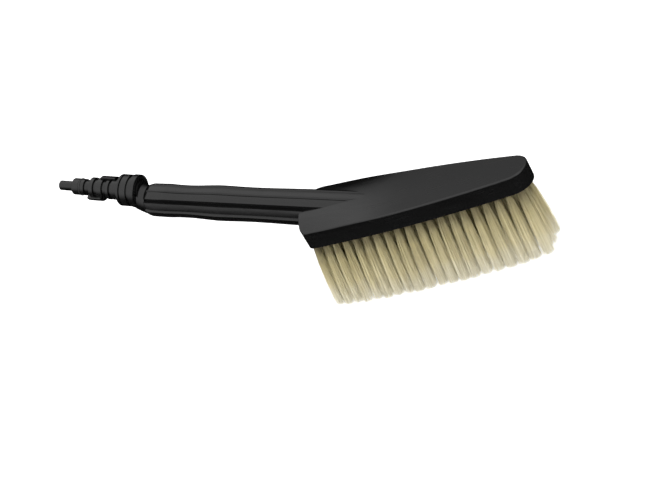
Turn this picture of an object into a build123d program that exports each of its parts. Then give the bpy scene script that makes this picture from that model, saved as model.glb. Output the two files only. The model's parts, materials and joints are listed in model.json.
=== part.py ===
"""Water-fed wash brush: a hollow fluted handle, a flat-iron head with soft tufts, and a bayonet inlet.

Frame: +X runs along the head to its pointed end, +Y across it, +Z up. The tuft tips stand on z = 0 and
the origin is under the middle of the whole brush. Sizes are in millimetres.
"""

from build123d import *
from math import cos, radians, sin, sqrt
import os

# ---- driving dimensions --------------------------------------------------------------------------
HEAD_LENGTH = 231.0  # blunt end to pointed end
HEAD_TIP = 117.5  # pointed end, from the head's own middle
HEAD_HALF_WIDTH = 38.95  # at the widest place, by the blunt end
SIDE_CENTRE_X = -111.4  # each long side is one shallow arc, widest here
TIP_RADIUS = 18.6  # tangent to both long sides
END_RADIUS = 100.0  # the blunt end bows out a little
CORNER_RADIUS = 9.5
WALL_HEIGHT = 17.0  # side wall of the head
EDGE_FILLET = 1.3  # rim between side wall and top face
TUFT_LENGTH = 69.5  # free length below the head

HANDLE_SLOPE = 16.55  # degrees above the head's top face
HANDLE_ROOT_X = -94.5  # where the handle axis meets the plane of the rim
HANDLE_END = 190.7  # length of the fluted handle along its axis
FACE_RADIUS = 15.0  # of the handle's rear face
END_ROUND = 6.5  # length over which the ridges round off to that face
ENVELOPE_START = 21.0
ENVELOPE_END = 16.7
FLUTES = 10
FLUTE_PHASE = 32.5  # a groove lies this many degrees above the side of the handle
SIDE_FLUTE = (8.0, 3.2)  # half angle and depth of the grooves on the two sides
TOP_FLUTE = (4.5, 1.3)  # and of those on the top and the bottom
# Gentle waves give the hand two waists to hold: radius at even steps along the axis.
GRIP_START = -62.0
GRIP_STEP = 25.0
GRIP_RADII = (18.0, 18.0, 18.0, 17.8, 17.4, 17.0, 17.15, 17.6, 16.4, 16.7, 16.5, 16.2)
# Height of the crown above the rim, at even steps along the head from behind its blunt end.
CROWN_START = -120.0
CROWN_STEP = 20.0
CROWN_HEIGHTS = (13.2, 12.3, 10.0, 7.0, 3.3, 1.0, 0.4, 0.3, 0.25, 0.25, 0.25, 0.25, 0.25)

INLET_SLOPE = 18.3  # axis of the inlet fitting, degrees
INLET_ORIGIN = (-287.8, 68.25)  # x and height above the rim where the fitting is measured from
NOSE_END = 88.5  # tip of the nose along the inlet axis

WALL = 3.0  # side wall thickness of the head
ROOF = 3.0  # top wall thickness of the head
LEDGE = 6.0  # the gasket ledge reaches this far in from the outside
GASKET_THICKNESS = 1.2
PLATE_GAP = 0.2
RUNNING = 0.3  # clearance between parts that move

TUFT_PITCH = 10.95  # along the head
ROW_PITCH = 10.0  # across the head
FIRST_TUFT_X = -102.2
TUFTS_LONG = 20
EDGE_MARGIN = 6.95  # outer row of tufts, in from the head's side
ROOT_RADIUS = 2.6
TIP_TUFT_RADIUS = 5.2
LEAN_X = 0.03  # tips spread by this share of their place along the head
LEAN_BACK = 2.4  # and all lean this much towards the handle
# The outer tips lean out sideways, least at both ends of the head.
LEAN_OUT = 3.2
LEAN_BELLY = 4.6
BELLY_X = 5.0
BELLY_REACH = 108.0
HOLE_DEPTH = 6.0
ANCHOR_HEIGHT = 2.3
ANCHOR_THICKNESS = 0.4

SCREW_COLUMNS = (2, 8, 14)  # a screw stands in place of a tuft in the second row here
JET_COLUMNS = (1, 4, 12, 17)  # and a water jet in the middle row here
MIDDLE_ROOM = 9.8  # the middle row is there where its neighbours are this far out

BOSS_RADIUS = 4.0
SCREW_RADIUS = 1.75
BORE_RADIUS = 12.0  # hollow of the handle
BORE_START = 30.0  # distances along the handle axis
TUBE_START = 16.0
TUBE_RADIUS = 6.0
TUBE_WALL = 1.2
TUBE_END = 184.0
PASSAGE_RADIUS = 4.0
PASSAGE_END = -30.0
FRONT_SEAL = 23.0
REAR_SEAL = 179.0
SEAL_GROOVE = 2.4
TUBE_GROOVE = 7.6  # outer radius of the seal grooves round the feed tube

JET_RADIUS = 2.2
JET_FLANGE = 3.4
JET_BORE = 1.6
JET_ORIFICE = 0.6
JET_SKIN = 1.5  # thickness at the outlet
COUNTERBORE = 2.6
HEAD_RADIUS = 3.4  # screw head
SCREW_HEAD = 2.0
SCREW_LENGTH = 9.0
SLOT_LENGTH = 4.0
SLOT_WIDTH = 0.9
SLOT_DEPTH = 1.1

# Handle end cap, measured along the handle axis or the inlet axis.
PLUG_START = 172.0
PLUG_RADIUS = 11.9
PLUG_SEAL = 176.0
# Rise of the dome's middle above the handle axis and its radius, at even steps from the handle.
DOME_STEP = 3.7
DOME = ((-0.7, 14.2), (0.8, 14.3), (3.0, 14.5), (5.5, 14.8))
RECESS_START = -6.5  # the collar turns in a recess that leaves a chin under it
RECESS_RADIUS = 17.1
NECK_ROOT = -8.0
RELIEF_RADIUS = 11.4
THREAD_START = 0.5
NECK_RADIUS = 12.0
NECK_FACE = 5.0
SOCKET_RADIUS = 6.6
SOCKET_FLOOR = -5.5
SEAL_DEPTH = 1.5

# Inlet fitting, measured along the inlet axis.
TAIL_START = -4.5
TAIL_RADIUS = 6.4
TAIL_SEAL = 0.5
BARREL_START = 6.5
BARREL_END = 49.5
BARREL_RADIUS = 10.6
BARREL_GROOVES = ((25.5, 3.0), (32.5, 5.0), (43.0, 4.6))  # place and width
BARREL_GROOVE_DEPTH = 1.6
LUGS = ((37.0, 52.5, -53.0), (21.0, 38.0, 127.0))  # start, end and angle of each bayonet lug
LUG_RADIUS = 13.0
LUG_HALF_ANGLE = 32.0
LUG_ROUND = 0.7
WAIST_RADIUS = 7.0
SHOULDER_START = 57.2
SHOULDER_END = 72.0
SHOULDER_RADIUS = 8.5
SHOULDER_CHAMFER = 1.2
SHOULDER_SEAL = 62.3
SHOULDER_SEAL_THICKNESS = 2.0
NOSE_RADIUS = 5.0
NOSE_CHAMFER = 0.8
WATER_RADIUS = 2.8
BARREL_BORE = 4.2
BORE_END = 47.5
STRAINER_START = 28.0
STRAINER_RADIUS = 3.2
STRAINER_WALL = 0.5
STRAINER_RIM = 1.0
RETAINER_START = 7.5
RETAINER_END = 9.5
RETAINER_INNER = 9.2
RETAINER_OUTER = 11.7
RETAINER_OPENING = 6.0
THRUST_THICKNESS = 1.0
COLLAR_START = -6.0
COLLAR_RING_END = 0.0
COLLAR_END = 14.9
COLLAR_RING_RADIUS = 16.7
COLLAR_RADIUS = 16.1
COLLAR_ROUND = 1.0
COLLAR_GROOVES = ((2.2, 3.0), (11.0, 1.8))  # place and width
COLLAR_GROOVE_DEPTH = 1.3

# ---- places worked out from them -----------------------------------------------------------------
RIM_Z = TUFT_LENGTH + WALL_HEIGHT  # height of the rim above the tuft tips
inlet_run = NOSE_END * cos(radians(INLET_SLOPE))
HEAD_X = -(HEAD_TIP + INLET_ORIGIN[0] - inlet_run) / 2  # puts the origin under the middle
BLUNT_X = HEAD_TIP - HEAD_LENGTH
TIP_CENTRE_X = HEAD_TIP - TIP_RADIUS
# This radius makes each long side run smoothly into the round tip.
side_run = TIP_CENTRE_X - SIDE_CENTRE_X
SIDE_RADIUS = (side_run**2 + HEAD_HALF_WIDTH**2 - TIP_RADIUS**2) / (HEAD_HALF_WIDTH - TIP_RADIUS) / 2
SIDE_CENTRE_Y = HEAD_HALF_WIDTH - SIDE_RADIUS
SOLE_Z = TUFT_LENGTH  # lower edge of the side wall
LEDGE_Z = RIM_Z - 8.0  # underside of the gasket ledge
PLATE_TOP = LEDGE_Z - GASKET_THICKNESS

handle_axis = (-cos(radians(HANDLE_SLOPE)), 0, sin(radians(HANDLE_SLOPE)))
inlet_axis = (-cos(radians(INLET_SLOPE)), 0, sin(radians(INLET_SLOPE)))
HANDLE = Plane(origin=(HEAD_X + HANDLE_ROOT_X, 0, RIM_Z), x_dir=(0, -1, 0), z_dir=handle_axis)
INLET = Plane(
    origin=(HEAD_X + INLET_ORIGIN[0], 0, RIM_Z + INLET_ORIGIN[1]), x_dir=(0, -1, 0), z_dir=inlet_axis
)

os.makedirs("parts", exist_ok=True)


def save(part, label):
    """Label a finished piece and write its STEP file."""
    part.label = label
    export_step(part, f"parts/{label}.step")


def polar(radius, angle):
    """Point at this radius and angle in degrees."""
    return (radius * cos(radians(angle)), radius * sin(radians(angle)))


def head_outline(inset):
    """The head seen from above, drawn in by the inset."""
    side = SIDE_RADIUS - inset
    tip = TIP_RADIUS - inset
    # The long side meets the tip circle on the line through both centres.
    run = TIP_CENTRE_X - SIDE_CENTRE_X
    reach = sqrt(run**2 + SIDE_CENTRE_Y**2)
    join = Vector(TIP_CENTRE_X + tip * run / reach, -tip * SIDE_CENTRE_Y / reach)
    end_x = BLUNT_X + inset
    corner_y = SIDE_CENTRE_Y + side
    corner = Vector(end_x + END_RADIUS - sqrt(END_RADIUS**2 - corner_y**2), corner_y)
    corner_run = corner.X - SIDE_CENTRE_X
    corner.Y = SIDE_CENTRE_Y + sqrt(side**2 - corner_run**2)
    middle_x = (corner.X + join.X) / 2
    middle = Vector(middle_x, SIDE_CENTRE_Y + sqrt(side**2 - (middle_x - SIDE_CENTRE_X) ** 2))
    with BuildSketch() as outline:
        with BuildLine():
            ThreePointArc(corner, middle, join)
            ThreePointArc(join, (TIP_CENTRE_X + tip, 0), (join.X, -join.Y))
            ThreePointArc((join.X, -join.Y), (middle.X, -middle.Y), (corner.X, -corner.Y))
            ThreePointArc((corner.X, -corner.Y), (end_x, 0), corner)
        make_face()
        fillet(outline.vertices().sort_by(Axis.X)[0:2], radius=CORNER_RADIUS - inset)
    return Pos(HEAD_X, 0) * outline.sketch


def flute_size(angle):
    """Half angle and depth of the handle's groove at this angle."""
    sideways = abs(cos(radians(angle)))
    return SIDE_FLUTE if sideways > cos(radians(60)) else TOP_FLUTE


def fluted_section(radius):
    """The handle's cross-section: broad ridges with a narrow V groove between them."""
    step = 360 / FLUTES
    with BuildSketch() as section:
        with BuildLine():
            for k in range(FLUTES):
                groove = FLUTE_PHASE + k * step
                half_angle, depth = flute_size(groove)
                start = polar(radius, groove - half_angle)
                stop = polar(radius, groove + half_angle)
                Polyline(start, polar(radius - depth, groove), stop)
                ridge_end = polar(radius, groove + step - flute_size(groove + step)[0])
                ThreePointArc(stop, polar(radius, groove + step / 2), ridge_end)
        make_face()
    return section.sketch


def half_width(x):
    """Half the head's width at x, measured from the head's middle."""
    side = SIDE_CENTRE_Y + sqrt(SIDE_RADIUS**2 - (x - SIDE_CENTRE_X) ** 2)
    # The bowed end is this much further back where the corners are.
    corner_x = BLUNT_X + CORNER_RADIUS + END_RADIUS - sqrt(END_RADIUS**2 - HEAD_HALF_WIDTH**2 / 2)
    if x > TIP_CENTRE_X:
        return min(side, sqrt(max(TIP_RADIUS**2 - (x - TIP_CENTRE_X) ** 2, 0)))
    if x < corner_x:
        return side - CORNER_RADIUS + sqrt(max(CORNER_RADIUS**2 - (corner_x - x) ** 2, 0))
    return side


def head_prism(inset, low, high):
    """The head's outline drawn in by the inset and raised between two heights."""
    with BuildPart() as prism:
        with BuildSketch(Plane.XY.offset(low)):
            add(head_outline(inset))
        extrude(amount=high - low)
    return prism.part


def rod(plane, start, stop, radius):
    """A round bar along a plane's axis, from start to stop."""
    with BuildPart() as bar:
        with BuildSketch(plane.offset(start)):
            Circle(radius)
        extrude(amount=stop - start)
    return bar.part


def tube(plane, start, stop, outer, inner):
    """A round tube along a plane's axis, from start to stop."""
    with BuildPart() as pipe:
        with BuildSketch(plane.offset(start)):
            Circle(outer)
            Circle(inner, mode=Mode.SUBTRACT)
        extrude(amount=stop - start)
    return pipe.part


def seal_groove(plane, place, radius):
    """The space that a groove for a seal takes out of a bore."""
    return rod(plane, place - SEAL_GROOVE / 2, place + SEAL_GROOVE / 2, radius)


def ring_groove(plane, place, width, inner, outer):
    """The space that a groove takes out of a round bar."""
    return tube(plane, place - width / 2, place + width / 2, outer, inner)


def o_ring(plane, place, middle_radius, thickness):
    """A round-section seal whose middle circle lies at a place along a plane's axis."""
    with BuildPart() as ring:
        with BuildSketch(Plane(plane.origin, x_dir=plane.x_dir, z_dir=-plane.y_dir)):
            with Locations((middle_radius, place)):
                Circle(thickness / 2)
        revolve(axis=Axis(plane.origin, plane.z_dir))
    return ring.part


# ---- tuft layout ---------------------------------------------------------------------------------
# Columns run across the head; at each one the outer tufts follow the head's sides.
columns = [FIRST_TUFT_X + TUFT_PITCH * k for k in range(TUFTS_LONG)]
screw_places = []
jet_places = []
tuft_rows = {}
for number, x in enumerate(columns):
    outer = half_width(x) - EDGE_MARGIN
    inner = outer
    row = 1
    while inner >= ROW_PITCH / 2:
        for side, name in ((-1, "front"), (1, "rear")):
            if row == 2 and number in SCREW_COLUMNS:
                screw_places.append((x, side * inner))
            else:
                tuft_rows.setdefault(f"tuft_{name}_row_{row}", []).append((x, side * inner))
        inner -= ROW_PITCH
        row += 1
    if inner + ROW_PITCH >= MIDDLE_ROOM:
        if number in JET_COLUMNS:
            jet_places.append((x, 0.0))
        else:
            tuft_rows.setdefault("tuft_middle_row", []).append((x, 0.0))
all_tufts = [place for places in tuft_rows.values() for place in places]


# ---- brush body: head shell and handle in one moulding -------------------------------------------
with BuildPart() as handle:
    for number, radius in enumerate(GRIP_RADII):
        with BuildSketch(HANDLE.offset(GRIP_START + number * GRIP_STEP)):
            add(fluted_section(radius))
    loft()

# The handle keeps inside a slim round form, which rounds off the rear ends of its ridges.
with BuildPart() as handle_envelope:
    with BuildSketch(Plane(HANDLE.origin, x_dir=HANDLE.x_dir, z_dir=-HANDLE.y_dir)):
        with BuildLine():
            round_start = (ENVELOPE_END, HANDLE_END - END_ROUND)
            face_edge = (FACE_RADIUS, HANDLE_END)
            low = 2 * GRIP_START
            Polyline(round_start, (ENVELOPE_START, low), (0, low), (0, HANDLE_END), face_edge)
            TangentArc(round_start, face_edge, tangent=(0, 1))
        make_face()
    revolve(axis=Axis(HANDLE.origin, HANDLE.z_dir))

with BuildPart() as brush_body:
    # The head's top is crowned by the handle and flattens towards the pointed end.
    for number, height in enumerate(CROWN_HEIGHTS):
        x = CROWN_START + number * CROWN_STEP
        reach = HEAD_HALF_WIDTH + 1.0
        with BuildSketch(Plane(origin=(HEAD_X + x, 0, RIM_Z), x_dir=(0, 1, 0), z_dir=(1, 0, 0))):
            with BuildLine():
                ThreePointArc((-reach, 0), (0, height), (reach, 0))
                Polyline((reach, 0), (reach, -WALL_HEIGHT), (-reach, -WALL_HEIGHT), (-reach, 0))
            make_face()
    loft()
    add(head_prism(0, SOLE_Z, RIM_Z + 2 * CROWN_HEIGHTS[0]), mode=Mode.INTERSECT)
    fillet(brush_body.faces().filter_by(lambda f: f.normal_at().Z > 0.5).edges(), radius=EDGE_FILLET)
    add(handle.part & handle_envelope.part)
    # Water chamber under the roof, open below for the tuft plate.
    add(head_prism(LEDGE, -SOLE_Z, RIM_Z - ROOF), mode=Mode.SUBTRACT)
    add(head_prism(WALL, -SOLE_Z, LEDGE_Z), mode=Mode.SUBTRACT)
    # Screw bosses hang from the roof.
    with BuildSketch(Plane.XY.offset(PLATE_TOP)):
        with Locations([(HEAD_X + x, y) for x, y in screw_places]):
            Circle(BOSS_RADIUS)
            Circle(SCREW_RADIUS, mode=Mode.SUBTRACT)
    extrude(amount=RIM_Z - ROOF - PLATE_TOP)
    # Handle bore, feed tube seat and the passage down into the chamber.
    add(rod(HANDLE, BORE_START, HANDLE_END, BORE_RADIUS), mode=Mode.SUBTRACT)
    add(rod(HANDLE, TUBE_START, BORE_START, TUBE_RADIUS), mode=Mode.SUBTRACT)
    add(seal_groove(HANDLE, FRONT_SEAL, TUBE_GROOVE), mode=Mode.SUBTRACT)
    add(rod(HANDLE, PASSAGE_END, TUBE_START, PASSAGE_RADIUS), mode=Mode.SUBTRACT)
save(brush_body.part, "brush_body")


# ---- handle end cap: plug, leaning dome, threaded neck and socket --------------------------------
with BuildPart() as handle_end_cap:
    for number, (rise, radius) in enumerate(DOME):
        with BuildSketch(HANDLE.offset(HANDLE_END + number * DOME_STEP)):
            with Locations((0, rise)):
                Circle(radius)
    loft()
    add(rod(INLET, RECESS_START, NECK_FACE, RECESS_RADIUS), mode=Mode.SUBTRACT)
    add(rod(HANDLE, PLUG_START, HANDLE_END + DOME_STEP, PLUG_RADIUS))
    add(rod(INLET, NECK_ROOT, THREAD_START, RELIEF_RADIUS))
    add(rod(INLET, THREAD_START, NECK_FACE, NECK_RADIUS))
    plug_groove = ring_groove(HANDLE, PLUG_SEAL, SEAL_GROOVE, PLUG_RADIUS - SEAL_DEPTH, PLUG_RADIUS)
    add(plug_groove, mode=Mode.SUBTRACT)
    add(rod(HANDLE, PLUG_START, TUBE_END, TUBE_RADIUS), mode=Mode.SUBTRACT)
    add(seal_groove(HANDLE, REAR_SEAL, TUBE_GROOVE), mode=Mode.SUBTRACT)
    add(rod(INLET, SOCKET_FLOOR, NECK_FACE, SOCKET_RADIUS), mode=Mode.SUBTRACT)
    # The passage slants up from the feed tube to the socket, which sits off the handle's axis.
    passage_foot = HANDLE.offset(TUBE_END - TUBE_WALL).origin
    passage = INLET.offset(SOCKET_FLOOR + TUBE_WALL).origin - passage_foot
    slant = Plane(passage_foot, z_dir=passage)
    add(rod(slant, 0, passage.length, PASSAGE_RADIUS), mode=Mode.SUBTRACT)
save(handle_end_cap.part, "handle_end_cap")

# ---- water way inside the handle -----------------------------------------------------------------
save(tube(HANDLE, TUBE_START, TUBE_END, TUBE_RADIUS, TUBE_RADIUS - TUBE_WALL), "feed_tube")
seal_middle = (TUBE_RADIUS + TUBE_GROOVE) / 2
seal_thickness = TUBE_GROOVE - TUBE_RADIUS
save(o_ring(HANDLE, FRONT_SEAL, seal_middle, seal_thickness), "feed_tube_front_o_ring")
save(o_ring(HANDLE, REAR_SEAL, seal_middle, seal_thickness), "feed_tube_rear_o_ring")
plug_seal_thickness = BORE_RADIUS - PLUG_RADIUS + SEAL_DEPTH
save(
    o_ring(HANDLE, PLUG_SEAL, BORE_RADIUS - plug_seal_thickness / 2, plug_seal_thickness),
    "end_cap_o_ring",
)

# ---- inlet spigot: tail, grooved barrel with two bayonet lugs, waist, seal shoulder and nose -----
def lug(start, stop, angle):
    """A bayonet lug: a sector of a round bar whose outer edges are rounded."""
    with BuildPart() as sector:
        with BuildSketch(INLET.offset(start)):
            with BuildLine():
                first = polar(LUG_RADIUS, angle - LUG_HALF_ANGLE)
                last = polar(LUG_RADIUS, angle + LUG_HALF_ANGLE)
                first_foot = polar(TAIL_RADIUS, angle - LUG_HALF_ANGLE)
                last_foot = polar(TAIL_RADIUS, angle + LUG_HALF_ANGLE)
                ThreePointArc(first, polar(LUG_RADIUS, angle), last)
                Line(last, last_foot)
                ThreePointArc(last_foot, polar(TAIL_RADIUS, angle), first_foot)
                Line(first_foot, first)
            make_face()
        extrude(amount=stop - start)
        outer_face = sector.faces().filter_by(GeomType.CYLINDER).sort_by(SortBy.AREA)[-1]
        fillet(outer_face.edges(), radius=LUG_ROUND)
    return sector.part


def chamfered_rod(plane, start, stop, radius, size):
    """A round bar along a plane's axis, chamfered at its far end."""
    with BuildPart() as bar:
        add(rod(plane, start, stop, radius))
        far_face = bar.faces().sort_by(Axis(plane.origin, plane.z_dir))[-1]
        chamfer(far_face.edges(), length=size)
    return bar.part


with BuildPart() as inlet_spigot:
    add(rod(INLET, TAIL_START, BARREL_START, TAIL_RADIUS))
    add(rod(INLET, BARREL_START, BARREL_END, BARREL_RADIUS))
    for place, width in BARREL_GROOVES:
        groove = ring_groove(INLET, place, width, BARREL_RADIUS - BARREL_GROOVE_DEPTH, BARREL_RADIUS)
        add(groove, mode=Mode.SUBTRACT)
    add(tube(INLET, RETAINER_START, RETAINER_END, BARREL_RADIUS, RETAINER_INNER), mode=Mode.SUBTRACT)
    for start, stop, angle in LUGS:
        add(lug(start, stop, angle))
    add(rod(INLET, BARREL_END, SHOULDER_START, WAIST_RADIUS))
    add(chamfered_rod(INLET, SHOULDER_START, SHOULDER_END, SHOULDER_RADIUS, SHOULDER_CHAMFER))
    add(chamfered_rod(INLET, SHOULDER_END, NOSE_END, NOSE_RADIUS, NOSE_CHAMFER))
    shoulder_floor = SHOULDER_RADIUS - SEAL_DEPTH
    add(
        ring_groove(INLET, SHOULDER_SEAL, SEAL_GROOVE, shoulder_floor, SHOULDER_RADIUS), mode=Mode.SUBTRACT
    )
    tail_floor = TAIL_RADIUS - SEAL_DEPTH
    add(ring_groove(INLET, TAIL_SEAL, SEAL_GROOVE, tail_floor, TAIL_RADIUS), mode=Mode.SUBTRACT)
    add(rod(INLET, TAIL_START, NOSE_END, WATER_RADIUS), mode=Mode.SUBTRACT)
    add(rod(INLET, TAIL_START, BORE_END, BARREL_BORE), mode=Mode.SUBTRACT)
save(inlet_spigot.part, "inlet_spigot")

shoulder_seal_middle = shoulder_floor + SHOULDER_SEAL_THICKNESS / 2
save(o_ring(INLET, SHOULDER_SEAL, shoulder_seal_middle, SHOULDER_SEAL_THICKNESS), "shoulder_o_ring")
tail_seal_thickness = SOCKET_RADIUS - TAIL_RADIUS + SEAL_DEPTH
save(
    o_ring(INLET, TAIL_SEAL, SOCKET_RADIUS - tail_seal_thickness / 2, tail_seal_thickness),
    "spigot_tail_o_ring",
)
save(tube(INLET, NECK_FACE, BARREL_START, BARREL_RADIUS, TAIL_RADIUS), "union_washer")

# Gauze cup in the barrel's bore, rim against the step below the nose.
with BuildPart() as inlet_strainer:
    add(rod(INLET, STRAINER_START, BORE_END, STRAINER_RADIUS))
    add(rod(INLET, BORE_END - STRAINER_RIM, BORE_END, BARREL_BORE))
    cup_bore = rod(INLET, STRAINER_START + STRAINER_WALL, BORE_END, STRAINER_RADIUS - STRAINER_WALL)
    add(cup_bore, mode=Mode.SUBTRACT)
save(inlet_strainer.part, "inlet_strainer")

# ---- union: split retaining ring on the barrel, loose thrust ring and collar ---------------------
with BuildPart() as retaining_ring:
    add(tube(INLET, RETAINER_START, RETAINER_END, RETAINER_OUTER, RETAINER_INNER))
    with BuildSketch(INLET.offset(RETAINER_START)):
        with Locations((0, -RETAINER_OUTER)):
            Rectangle(RETAINER_OPENING, RETAINER_OUTER)
    extrude(amount=RETAINER_END - RETAINER_START, mode=Mode.SUBTRACT)
save(retaining_ring.part, "retaining_ring")

ring_start = RETAINER_END + RUNNING
ring_end = ring_start + THRUST_THICKNESS
lip_start = ring_end + RUNNING
lip_bore = BARREL_RADIUS + RUNNING
save(tube(INLET, ring_start, ring_end, RETAINER_OUTER, lip_bore), "thrust_ring")
with BuildPart() as union_collar:
    add(rod(INLET, COLLAR_START, COLLAR_RING_END, COLLAR_RING_RADIUS))
    add(rod(INLET, COLLAR_RING_END, COLLAR_END, COLLAR_RADIUS))
    ends = union_collar.faces().sort_by(Axis(INLET.origin, INLET.z_dir))
    fillet([ends[0].edges(), ends[-1].edges()], radius=COLLAR_ROUND)
    for place, width in COLLAR_GROOVES:
        groove = ring_groove(INLET, place, width, COLLAR_RADIUS - COLLAR_GROOVE_DEPTH, COLLAR_RADIUS)
        add(groove, mode=Mode.SUBTRACT)
    add(rod(INLET, COLLAR_START, lip_start, NECK_RADIUS + RUNNING), mode=Mode.SUBTRACT)
    add(rod(INLET, COLLAR_START, COLLAR_END, lip_bore), mode=Mode.SUBTRACT)
save(union_collar.part, "union_collar")

# ---- tuft plate, its gasket, screws and jets -----------------------------------------------------
with BuildPart() as plate_gasket:
    add(head_prism(WALL + PLATE_GAP, PLATE_TOP, LEDGE_Z))
    add(head_prism(LEDGE, PLATE_TOP, LEDGE_Z), mode=Mode.SUBTRACT)
save(plate_gasket.part, "plate_gasket")

with BuildPart() as tuft_plate:
    add(head_prism(WALL + PLATE_GAP, SOLE_Z, PLATE_TOP))
    with BuildSketch(Plane.XY.offset(SOLE_Z)):
        with Locations([(HEAD_X + x, y) for x, y in all_tufts]):
            Circle(ROOT_RADIUS)
    extrude(amount=HOLE_DEPTH, mode=Mode.SUBTRACT)
    with BuildSketch(Plane.XY.offset(SOLE_Z)):
        with Locations([(HEAD_X + x, y) for x, y in screw_places]):
            Circle(SCREW_RADIUS)
        with Locations([(HEAD_X + x, y) for x, y in jet_places]):
            Circle(JET_RADIUS)
    extrude(amount=PLATE_TOP - SOLE_Z, mode=Mode.SUBTRACT)
    with BuildSketch(Plane.XY.offset(SOLE_Z)):
        with Locations([(HEAD_X + x, y) for x, y in screw_places]):
            Circle(HEAD_RADIUS)
        with Locations([(HEAD_X + x, y) for x, y in jet_places]):
            Circle(JET_FLANGE)
    extrude(amount=COUNTERBORE, mode=Mode.SUBTRACT)
save(tuft_plate.part, "tuft_plate")

with BuildPart() as plate_screws:
    with BuildSketch(Plane.XY.offset(SOLE_Z + COUNTERBORE)):
        with Locations([(HEAD_X + x, y) for x, y in screw_places]):
            Circle(SCREW_RADIUS)
    extrude(amount=SCREW_LENGTH)
    with BuildSketch(Plane.XY.offset(SOLE_Z + COUNTERBORE - SCREW_HEAD)):
        with Locations([(HEAD_X + x, y) for x, y in screw_places]):
            Circle(HEAD_RADIUS - PLATE_GAP)
    extrude(amount=SCREW_HEAD)
    with BuildSketch(Plane.XY.offset(SOLE_Z + COUNTERBORE - SCREW_HEAD)):
        with Locations([(HEAD_X + x, y) for x, y in screw_places]):
            Rectangle(SLOT_LENGTH, SLOT_WIDTH)
            Rectangle(SLOT_WIDTH, SLOT_LENGTH)
    extrude(amount=SLOT_DEPTH, mode=Mode.SUBTRACT)
save(plate_screws.part, "plate_screws")

for number, (x, y) in enumerate(jet_places, start=1):
    jet = Plane(origin=(HEAD_X + x, y, SOLE_Z))
    with BuildPart() as spray_jet:
        add(rod(jet, 0, COUNTERBORE, JET_FLANGE - PLATE_GAP))
        add(rod(jet, COUNTERBORE, PLATE_TOP - SOLE_Z, JET_RADIUS))
        add(rod(jet, JET_SKIN, PLATE_TOP - SOLE_Z, JET_BORE), mode=Mode.SUBTRACT)
        add(rod(jet, 0, JET_SKIN, JET_ORIFICE), mode=Mode.SUBTRACT)
    save(spray_jet.part, f"spray_jet_{number}")

# ---- tufts and the anchors that hold them --------------------------------------------------------
anchor_z = SOLE_Z + HOLE_DEPTH - ANCHOR_HEIGHT / 2
with BuildPart() as tuft_anchors:
    with Locations([(HEAD_X + x, y, anchor_z) for x, y in all_tufts]):
        Box(ANCHOR_THICKNESS, 2 * ROOT_RADIUS - PLATE_GAP, ANCHOR_HEIGHT)
save(tuft_anchors.part, "tuft_anchors")


def tuft(x, y):
    """One tuft: straight in its hole, then spreading and leaning outwards to its tip."""
    belly = max(0, 1 - ((x - BELLY_X) / BELLY_REACH) ** 4)
    lean_out = (LEAN_OUT + LEAN_BELLY * belly) / (half_width(x) - EDGE_MARGIN)
    stations = (
        (SOLE_Z + HOLE_DEPTH - ANCHOR_HEIGHT, ROOT_RADIUS, x, y),
        (SOLE_Z, ROOT_RADIUS, x, y),
        (0.0, TIP_TUFT_RADIUS, x * (1 + LEAN_X) - LEAN_BACK, y * (1 + lean_out)),
    )
    with BuildPart() as bundle:
        for height, radius, station_x, station_y in stations:
            with BuildSketch(Plane(origin=(HEAD_X + station_x, station_y, height))):
                Circle(radius)
        loft(ruled=True)
    return bundle.part


for name, places in tuft_rows.items():
    save(Compound(children=[tuft(x, y) for x, y in places]), name)
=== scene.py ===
"""Water-fed wash brush: looks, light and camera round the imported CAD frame. Metres, +Z up."""

import json
import math
import random

import bmesh
import bpy
from mathutils import Matrix, Vector


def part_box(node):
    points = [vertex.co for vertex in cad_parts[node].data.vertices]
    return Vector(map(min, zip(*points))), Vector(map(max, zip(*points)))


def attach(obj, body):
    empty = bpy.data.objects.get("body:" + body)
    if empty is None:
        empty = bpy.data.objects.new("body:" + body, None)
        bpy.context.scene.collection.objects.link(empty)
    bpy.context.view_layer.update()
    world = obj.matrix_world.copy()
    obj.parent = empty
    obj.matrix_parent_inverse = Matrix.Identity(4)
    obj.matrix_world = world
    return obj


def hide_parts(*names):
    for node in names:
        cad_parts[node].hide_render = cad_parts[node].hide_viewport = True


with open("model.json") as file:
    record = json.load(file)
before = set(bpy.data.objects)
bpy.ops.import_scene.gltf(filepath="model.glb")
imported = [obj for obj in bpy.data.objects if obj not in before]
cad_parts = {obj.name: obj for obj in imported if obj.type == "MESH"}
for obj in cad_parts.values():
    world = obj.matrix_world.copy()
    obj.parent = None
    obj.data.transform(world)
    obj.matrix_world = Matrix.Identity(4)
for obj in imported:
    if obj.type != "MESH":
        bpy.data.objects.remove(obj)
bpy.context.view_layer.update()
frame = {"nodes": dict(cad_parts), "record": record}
NODES = frame["nodes"]
MM = 0.001
WHITE = (1.0, 1.0, 1.0)

random.seed(20)


# ---- camera --------------------------------------------------------------------------------------
plate_low, plate_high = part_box("tuft_plate")
# The camera looks at a place in front of the head. It lies this far behind the tuft plate's pointed
# end, this far out on the near side and this far above the plate's underside.
AIM_BEHIND, AIM_OUT, AIM_ABOVE = 179.0 * MM, 58.1 * MM, 4.9 * MM
AIM = Vector((plate_high.x - AIM_BEHIND, -AIM_OUT, plate_low.z + AIM_ABOVE))
DISTANCE = 1.1855
AZIMUTH, ELEVATION, ROLL = (math.radians(d) for d in (37.70, 27.96, -31.11))
LENS, SENSOR = 69.64, 36.0


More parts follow.
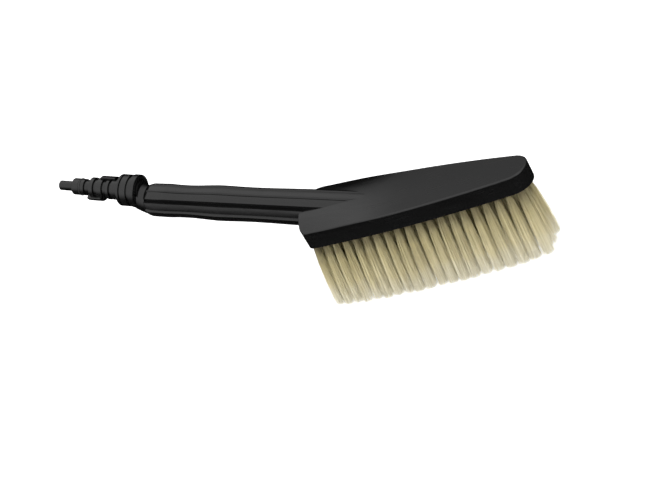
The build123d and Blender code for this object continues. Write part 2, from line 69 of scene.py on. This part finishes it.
def make_camera():
    """The camera looks down on the head's near side, rolled so that the handle lies nearly level."""
    back = Vector((
        math.sin(AZIMUTH) * math.cos(ELEVATION),
        -math.cos(AZIMUTH) * math.cos(ELEVATION),
        math.sin(ELEVATION),
    ))
    level = Vector((math.cos(AZIMUTH), math.sin(AZIMUTH), 0.0))
    upward = back.cross(level)
    right = math.cos(ROLL) * level + math.sin(ROLL) * upward
    up = -math.sin(ROLL) * level + math.cos(ROLL) * upward
    data = bpy.data.cameras.new("camera")
    data.lens = LENS
    data.sensor_width = SENSOR
    camera = bpy.data.objects.new("camera", data)
    bpy.context.scene.collection.objects.link(camera)
    place = Matrix((right, up, back)).transposed().to_4x4()
    place.translation = AIM + DISTANCE * back
    camera.matrix_world = place
    bpy.context.scene.camera = camera


# ---- node helpers --------------------------------------------------------------------------------
NOISE_ROUGHNESS = 0.55
MIX_FACTOR, MIX_FIRST, MIX_SECOND, MIX_RESULT = 0, 6, 7, 2  # sockets of a mix node set to colours


class Nodes:
    """A new node material with short calls for the few nodes used here."""

    def __init__(self, name):
        self.material = bpy.data.materials.new(name)
        self.material.use_nodes = True
        self.tree = self.material.node_tree
        self.surface = self.tree.nodes["Principled BSDF"]
        self.place = self.add("ShaderNodeTexCoord").outputs["Object"]

    def add(self, kind, **values):
        node = self.tree.nodes.new(kind)
        for key, value in values.items():
            setattr(node, key, value)
        return node

    def link(self, source, target):
        self.tree.links.new(source, target)

    def noise(self, scale, detail=3.0, stretch=None):
        """Noise at a scale in waves per metre, stretched along the axes if asked."""
        node = self.add("ShaderNodeTexNoise")
        node.inputs["Scale"].default_value = scale
        node.inputs["Detail"].default_value = detail
        node.inputs["Roughness"].default_value = NOISE_ROUGHNESS
        if stretch is None:
            self.link(self.place, node.inputs["Vector"])
        else:
            mapping = self.add("ShaderNodeMapping")
            mapping.inputs["Scale"].default_value = stretch
            self.link(self.place, mapping.inputs["Vector"])
            self.link(mapping.outputs["Vector"], node.inputs["Vector"])
        return node.outputs["Fac"]

    def ramp(self, source, *stops):
        """Colour ramp from (position, colour) stops."""
        node = self.add("ShaderNodeValToRGB")
        elements = node.color_ramp.elements
        while len(elements) < len(stops):
            elements.new(0.5)
        for element, (position, colour) in zip(elements, stops):
            element.position = position
            element.color = (*colour, 1.0)
        self.link(source, node.inputs["Fac"])
        return node.outputs["Color"]

    def span(self, source, low, high, new_low, new_high):
        """Maps a value from one range to another, clamped."""
        node = self.add("ShaderNodeMapRange")
        node.inputs["From Min"].default_value = low
        node.inputs["From Max"].default_value = high
        node.inputs["To Min"].default_value = new_low
        node.inputs["To Max"].default_value = new_high
        self.link(source, node.inputs["Value"])
        return node.outputs["Result"]

    def mix(self, factor, first, second, blend="MIX"):
        """Mixes two colours, each a socket or a plain colour, by a socket or a number."""
        node = self.add("ShaderNodeMix", data_type="RGBA", blend_type=blend)
        for key, value in ((MIX_FACTOR, factor), (MIX_FIRST, first), (MIX_SECOND, second)):
            if isinstance(value, bpy.types.NodeSocket):
                self.link(value, node.inputs[key])
            elif key == MIX_FACTOR:
                node.inputs[key].default_value = value
            else:
                node.inputs[key].default_value = (*value, 1.0)
        return node.outputs[MIX_RESULT]

    def bump(self, *layers):
        """Chains bump nodes, each (height socket, strength, depth in metres)."""
        normal = None
        for height, strength, depth in layers:
            node = self.add("ShaderNodeBump")
            node.inputs["Strength"].default_value = strength
            node.inputs["Distance"].default_value = depth
            self.link(height, node.inputs["Height"])
            if normal is not None:
                self.link(normal, node.inputs["Normal"])
            normal = node.outputs["Normal"]
        self.link(normal, self.surface.inputs["Normal"])


def grey(value):
    return (value, value, value)


# ---- materials -----------------------------------------------------------------------------------
# Noise scales of moulded plastic, in waves per metre, and its strengths.
CLOUD_SCALE, SPECKLE_SCALE, SCRATCH_SCALE, GRAIN_SCALE = 14.0, 900.0, 260.0, 1500.0
CLOUD_LIFT = 1.25  # brightness of the clouds over the base colour
SPECKLE_SHARE, EDGE_SHARE = 0.35, 0.55  # most of the worn colour that speckle and edges take
POLISHED, SCUFFED = -0.05, 0.09  # change in roughness from smooth to scratched places
CLOUD_BUMP, CLOUD_DEPTH, GRAIN_DEPTH = 0.12, 0.4 * MM, 0.05 * MM


def moulded_plastic(name, base, worn, roughness, grain):
    """Moulded plastic: fine grain, faint flow clouds and rubbed edges in the worn colour."""
    n = Nodes(name)
    clouds = n.noise(CLOUD_SCALE, detail=4.0)
    speckle = n.noise(SPECKLE_SCALE, detail=2.0)
    scratches = n.noise(SCRATCH_SCALE, detail=2.0, stretch=(0.12, 1.0, 1.0))
    colour = n.ramp(clouds, (0.35, base), (0.68, tuple(CLOUD_LIFT * c for c in base)))
    colour = n.mix(n.span(speckle, 0.45, 0.75, 0.0, SPECKLE_SHARE), colour, worn)
    edge = n.add("ShaderNodeNewGeometry").outputs["Pointiness"]
    colour = n.mix(n.span(edge, 0.505, 0.56, 0.0, EDGE_SHARE), colour, worn)
    n.link(colour, n.surface.inputs["Base Color"])
    scuffing = n.span(scratches, 0.3, 0.75, roughness + POLISHED, roughness + SCUFFED)
    n.link(scuffing, n.surface.inputs["Roughness"])
    surface_grain = n.noise(GRAIN_SCALE, detail=2.0)
    n.bump((clouds, CLOUD_BUMP, CLOUD_DEPTH), (surface_grain, grain, GRAIN_DEPTH))
    return n.material


# Colours of a filament from its tip, at 0, to its root, at 1; the dark brown towards the root is
# painted shade under the head.
FILAMENT_COLOURS_AND_ROOT_SHADE = (
    (0.0, (0.97, 0.94, 0.82)),
    (0.14, (0.94, 0.90, 0.74)),
    (0.34, (0.85, 0.78, 0.53)),
    (0.68, (0.64, 0.57, 0.33)),
    (1.0, (0.16, 0.13, 0.07)),
)
# Tints that tell one filament from another.
FILAMENT_TINTS = (
    (0.0, (0.74, 0.71, 0.62)),
    (0.35, (0.94, 0.93, 0.88)),
    (1.0, (1.04, 1.03, 1.0)),
)
COLOUR_DRIFT = 0.06  # how far the colours wander up or down, as a share of the length


def bristle_material():
    """Cream filaments: brown and dark at the root with painted shade under the head, pale at the
    tips, each a little different.
    """
    n = Nodes("bristle_filament")
    height = n.add("ShaderNodeSeparateXYZ")
    n.link(n.place, height.inputs["Vector"])
    level = n.span(height.outputs["Z"], 0.0, TUFT_TOP, 0.0, 1.0)
    wavy = n.add("ShaderNodeMath", operation="ADD")
    n.link(level, wavy.inputs[0])
    drift = n.span(n.noise(70.0, detail=2.0), 0.3, 0.7, -COLOUR_DRIFT, COLOUR_DRIFT)
    n.link(drift, wavy.inputs[1])
    # Painted shade: the ramp darkens each filament towards its root, where the head shades it.
    colour_and_shade = n.ramp(wavy.outputs["Value"], *FILAMENT_COLOURS_AND_ROOT_SHADE)
    island = n.add("ShaderNodeNewGeometry").outputs["Random Per Island"]
    tint = n.ramp(island, *FILAMENT_TINTS)
    n.link(n.mix(1.0, colour_and_shade, tint, blend="MULTIPLY"), n.surface.inputs["Base Color"])
    n.link(n.span(island, 0.0, 1.0, 0.42, 0.62), n.surface.inputs["Roughness"])
    n.bump((n.noise(700.0, detail=2.0, stretch=(1.0, 1.0, 0.05)), 0.3, 0.1 * MM))
    return n.material


def rubber_material():
    """Smooth black sealing rubber with a faint bloom."""
    n = Nodes("seal_rubber_black")
    bloom = n.noise(300.0)
    n.link(n.ramp(bloom, (0.4, grey(0.012)), (0.8, grey(0.03))), n.surface.inputs["Base Color"])
    n.link(n.span(bloom, 0.3, 0.7, 0.35, 0.55), n.surface.inputs["Roughness"])
    n.bump((n.noise(2500.0), 0.15, 0.03 * MM))
    return n.material


def metal_material(name, dark, light, roughness, grain):
    """Turned or drawn metal with fine brushing along the grain and slight stains."""
    n = Nodes(name)
    stains = n.noise(180.0)
    n.link(n.ramp(stains, (0.3, dark), (0.7, light)), n.surface.inputs["Base Color"])
    n.surface.inputs["Metallic"].default_value = 1.0
    brushing = n.noise(1800.0, stretch=grain)
    sheen = n.span(brushing, 0.3, 0.7, roughness - 0.08, roughness + 0.1)
    n.link(sheen, n.surface.inputs["Roughness"])
    n.bump((brushing, 0.2, 0.02 * MM))
    return n.material


def gauze_material():
    """Woven stainless gauze drawn by two crossing waves."""
    n = Nodes("strainer_gauze")
    waves = []
    for direction in ("X", "Z"):
        wave = n.add("ShaderNodeTexWave", bands_direction=direction)
        wave.inputs["Scale"].default_value = 420.0
        n.link(n.place, wave.inputs["Vector"])
        waves.append(wave.outputs["Fac"])
    weave = n.add("ShaderNodeMath", operation="MULTIPLY")
    n.link(waves[0], weave.inputs[0])
    n.link(waves[1], weave.inputs[1])
    wires = weave.outputs["Value"]
    n.link(n.ramp(wires, (0.1, grey(0.08)), (0.6, grey(0.6))), n.surface.inputs["Base Color"])
    n.surface.inputs["Metallic"].default_value = 1.0
    n.link(n.span(wires, 0.0, 1.0, 0.5, 0.3), n.surface.inputs["Roughness"])
    n.bump((wires, 0.6, 0.1 * MM))
    return n.material


BLACK = grey(0.002)
BODY_WORN, FITTING_WORN = grey(0.006), grey(0.007)
RING_CREAM, RING_PALE = (0.62, 0.6, 0.52), (0.75, 0.73, 0.66)
BRASS_DARK, BRASS_LIGHT = (0.5, 0.34, 0.12), (0.68, 0.5, 0.22)
# Brushing is stretched along one axis, where its scale is small.
ALONG_Y, ALONG_Z = (1.0, 0.1, 1.0), (1.0, 1.0, 0.1)


def paint_nodes():
    """Gives every CAD node except the tufts its procedural material."""
    by_slot = {
        "body_plastic": moulded_plastic("body_black_plastic", BLACK, BODY_WORN, 0.21, 0.07),
        "fitting_plastic": moulded_plastic("fitting_black_plastic", BLACK, FITTING_WORN, 0.2, 0.06),
        "ring_plastic": moulded_plastic("ring_natural_plastic", RING_CREAM, RING_PALE, 0.35, 0.1),
        "tube_plastic": moulded_plastic("tube_grey_plastic", grey(0.22), grey(0.34), 0.42, 0.1),
        "seal_rubber": rubber_material(),
        "screw_steel": metal_material("screw_stainless", grey(0.42), grey(0.6), 0.32, ALONG_Z),
        "ring_steel": metal_material("ring_stainless", grey(0.4), grey(0.55), 0.35, ALONG_Y),
        "anchor_metal": metal_material("anchor_wire", grey(0.38), grey(0.55), 0.4, ALONG_Y),
        "jet_brass": metal_material("jet_brass", BRASS_DARK, BRASS_LIGHT, 0.3, ALONG_Z),
        "strainer_steel": gauze_material(),
    }
    for row in frame["record"]["subparts"]:
        material = by_slot.get(row["material_slot"])
        if material is None:
            continue
        node = NODES[row["node"]]
        node.data.materials.clear()
        node.data.materials.append(material)


# ---- tufts ---------------------------------------------------------------------------------------
TUFT_TOP = plate_low.z  # the plate's underside, where the filaments come out
ROOT_DEPTH = 3.0 * MM  # filaments start this far inside their holes
RING_REACH = 0.2 * MM  # how near a tuft's end its circle's corners are looked for
FILAMENTS = {"1": 210, "2": 140, "3": 110, "middle": 110}  # in each tuft, by row from the outside
SIDES = 3  # of one filament
THICKNESS = 0.42 * MM
CUT_UNEVEN = 1.5 * MM
CUT_POWER = 1.6  # above 1, most tips end near the floor
CLEAR_OF_FLOOR = 0.2 * MM
TUFT_TILT, TUFT_TRIM = 0.5, 0.5  # mm, spread between tufts
TURN_SPREAD = 0.15  # radians
REACH_LEAST, REACH_MOST = 0.9, 1.25  # how far a filament's tip spreads, in tip radii of its tuft
BOW_OUT, BOW_SPREAD, BOW_SWAY = 0.25, 0.55, 0.35  # mm
STRAIGHT = 0.04  # share of the length that stays straight in the hole
SPREAD_POWER = 0.85
# Places along a filament from its root, and its thickness there.
STEPS = (0.0, STRAIGHT, 0.3, 0.6, 0.85, 1.0)
TAPER = (1.0, 1.0, 1.0, 0.95, 0.85, 0.5)


def tuft_solids(node):
    """Every tuft solid in a CAD node, as (root centre, tip centre, root radius, tip radius)."""
    mesh = bmesh.new()
    mesh.from_mesh(NODES[node].data)
    bmesh.ops.remove_doubles(mesh, verts=mesh.verts, dist=0.01 * MM)
    left = set(mesh.verts)
    found = []
    while left:
        island, edge = set(), [left.pop()]
        while edge:
            vertex = edge.pop()
            island.add(vertex)
            for link in vertex.link_edges:
                other = link.other_vert(vertex)
                if other in left:
                    left.remove(other)
                    edge.append(other)
        rings = []
        for wanted in (TUFT_TOP, 0.0):
            ring = [v.co for v in island if abs(v.co.z - wanted) < RING_REACH]
            centre = sum(ring, Vector()) / len(ring)
            rings.append((centre, max((co - centre).length for co in ring)))
        found.append((rings[0][0], rings[1][0], rings[0][1], rings[1][1]))
    mesh.free()
    return sorted(found, key=lambda tuft: (round(tuft[0].x, 4), round(tuft[0].y, 4)))


def disc_points(count):
    """Evenly packed places over the unit disc, as (radius, angle)."""
    turn = math.pi * (3.0 - math.sqrt(5.0))
    return [(math.sqrt((k + 0.5) / count), k * turn) for k in range(count)]


def add_filament(mesh, path, widths):
    """A thin tapered prism along a path, closed at both ends."""
    spin = random.uniform(0.0, 2.0 * math.pi)
    previous = None
    for point, width in zip(path, widths):
        ring = []
        for side in range(SIDES):
            angle = spin + 2.0 * math.pi * side / SIDES
            offset = Vector((math.cos(angle), math.sin(angle), 0.0)) * width / 2.0
            ring.append(mesh.verts.new(point + offset))
        if previous is None:
            mesh.faces.new(reversed(ring))
        else:
            for side in range(SIDES):
                after = (side + 1) % SIDES
                mesh.faces.new((previous[side], previous[after], ring[after], ring[side]))
        previous = ring
    mesh.faces.new(previous)


def fill_tuft(mesh, root, tip, root_radius, tip_radius, count):
    """One tuft: filaments packed at the root that spread, bow and end unevenly."""
    tilt = Vector((random.gauss(0.0, TUFT_TILT), random.gauss(0.0, TUFT_TILT), 0.0)) * MM
    trim = random.gauss(0.0, TUFT_TRIM) * MM
    for share, angle in disc_points(count):
        angle += random.uniform(-TURN_SPREAD, TURN_SPREAD)
        around = Vector((math.cos(angle), math.sin(angle), 0.0))
        start = root + around * share * (root_radius - THICKNESS / 2)
        start.z = TUFT_TOP + ROOT_DEPTH
        reach = share * tip_radius * random.uniform(REACH_LEAST, REACH_MOST)
        end = tip + around * reach + tilt
        end.z = CLEAR_OF_FLOOR + max(0.0, trim + CUT_UNEVEN * random.random() ** CUT_POWER)
        outward = around * random.gauss(BOW_OUT, BOW_SPREAD) * MM
        sway = Vector((random.gauss(0.0, BOW_SWAY), random.gauss(0.0, BOW_SWAY), 0.0)) * MM
        bow = outward + sway
        path = []
        for step in STEPS:
            spread = max(0.0, step - STRAIGHT) / (1.0 - STRAIGHT)
            point = start.lerp(end, step)
            flat = start.lerp(end, spread ** SPREAD_POWER)
            point.x, point.y = flat.x, flat.y
            point += bow * math.sin(math.pi * spread)
            path.append(point)
        add_filament(mesh, path, [THICKNESS * share_left for share_left in TAPER])


def make_tufts(material):
    """Replaces each CAD row of tufts with one piece made of separate filaments."""
    for node in sorted(NODES):
        if not (node.startswith("tuft_") and "row" in node):
            continue
        count = FILAMENTS[node.split("_")[-1] if node[-1].isdigit() else "middle"]
        mesh = bmesh.new()
        for root, tip, root_radius, tip_radius in tuft_solids(node):
            fill_tuft(mesh, root, tip, root_radius, tip_radius, count)
        data = bpy.data.meshes.new(node.replace("tuft_", "filaments_"))
        mesh.to_mesh(data)
        mesh.free()
        piece = bpy.data.objects.new(data.name, data)
        bpy.context.scene.collection.objects.link(piece)
        for face in data.polygons:
            face.use_smooth = True
        data.materials.append(material)
        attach(piece, "brush")
        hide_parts(node)


# ---- floor and light -----------------------------------------------------------------------------
FLOOR_REACH = 30.0
FLOOR_DIM, FLOOR_PALE, FLOOR_GLOW = grey(0.93), grey(0.95), 0.55
LAMP_PLACE, LAMP_AIM = (1.30, -0.45, 0.35), (0.05, 0.0, 0.05)
LAMP_SIZE, LAMP_POWER = 0.9, 2.5
BRIGHT_SIDE = (0.0, -0.342, 0.940)  # the direction that the brightest sky lies in
SKY_LOW, SKY_HIGH = 0.01, 1.2
SKY_FADE_FROM, SKY_FADE_TO = -0.10, 0.68  # cosine of the angle from the bright side
CHOOSER, UNSEEN, SEEN = 0, 2, 3  # sockets of a mix node set to numbers


def make_stage():
    """A plain white floor, a soft surround and one lamp beyond the pointed end."""
    mesh = bpy.data.meshes.new("floor")
    sides = ((-1, -1), (1, -1), (1, 1), (-1, 1))
    corners = [(x * FLOOR_REACH, y * FLOOR_REACH, 0.0) for x, y in sides]
    mesh.from_pydata(corners, [], [(0, 1, 2, 3)])
    floor = bpy.data.objects.new("floor", mesh)
    bpy.context.scene.collection.objects.link(floor)
    n = Nodes("floor_paper")
    paper = n.ramp(n.noise(6.0), (0.0, FLOOR_DIM), (1.0, FLOOR_PALE))
    n.link(paper, n.surface.inputs["Base Color"])
    n.surface.inputs["Roughness"].default_value = 0.9
    n.surface.inputs["Emission Color"].default_value = (*WHITE, 1.0)
    n.surface.inputs["Emission Strength"].default_value = FLOOR_GLOW
    mesh.materials.append(n.material)
    floor.visible_glossy = False

    make_world()
    make_lamp()
    bpy.context.scene.view_settings.view_transform = "Standard"


def make_world():
    """Bright overhead and on the near side, dark low down; plain white where the camera sees it."""
    world = bpy.data.worlds.new("surround")
    bpy.context.scene.world = world
    world.use_nodes = True
    tree = world.node_tree
    background = tree.nodes["Background"]
    facing = tree.nodes.new("ShaderNodeVectorMath")
    facing.operation = "DOT_PRODUCT"
    facing.inputs[1].default_value = BRIGHT_SIDE
    tree.links.new(tree.nodes.new("ShaderNodeTexCoord").outputs["Generated"], facing.inputs[0])
    fade = tree.nodes.new("ShaderNodeMapRange")
    fade.interpolation_type = "SMOOTHSTEP"
    fade.inputs["From Min"].default_value = SKY_FADE_FROM
    fade.inputs["From Max"].default_value = SKY_FADE_TO
    fade.inputs["To Min"].default_value = SKY_LOW
    fade.inputs["To Max"].default_value = SKY_HIGH
    tree.links.new(facing.outputs["Value"], fade.inputs["Value"])
    seen = tree.nodes.new("ShaderNodeLightPath")
    strength = tree.nodes.new("ShaderNodeMix")
    tree.links.new(seen.outputs["Is Camera Ray"], strength.inputs[CHOOSER])
    tree.links.new(fade.outputs["Result"], strength.inputs[UNSEEN])
    strength.inputs[SEEN].default_value = 1.0
    tree.links.new(strength.outputs[0], background.inputs["Strength"])
    background.inputs["Color"].default_value = (*WHITE, 1.0)


def make_lamp():
    """A square soft lamp beyond the head's pointed end."""
    data = bpy.data.lights.new("side", "AREA")
    data.size = LAMP_SIZE
    data.energy = LAMP_POWER
    light = bpy.data.objects.new("side", data)
    bpy.context.scene.collection.objects.link(light)
    light.location = LAMP_PLACE
    towards = Vector(LAMP_AIM) - Vector(LAMP_PLACE)
    light.rotation_euler = towards.to_track_quat("-Z", "Y").to_euler()


make_camera()
make_stage()
paint_nodes()
make_tufts(bristle_material())
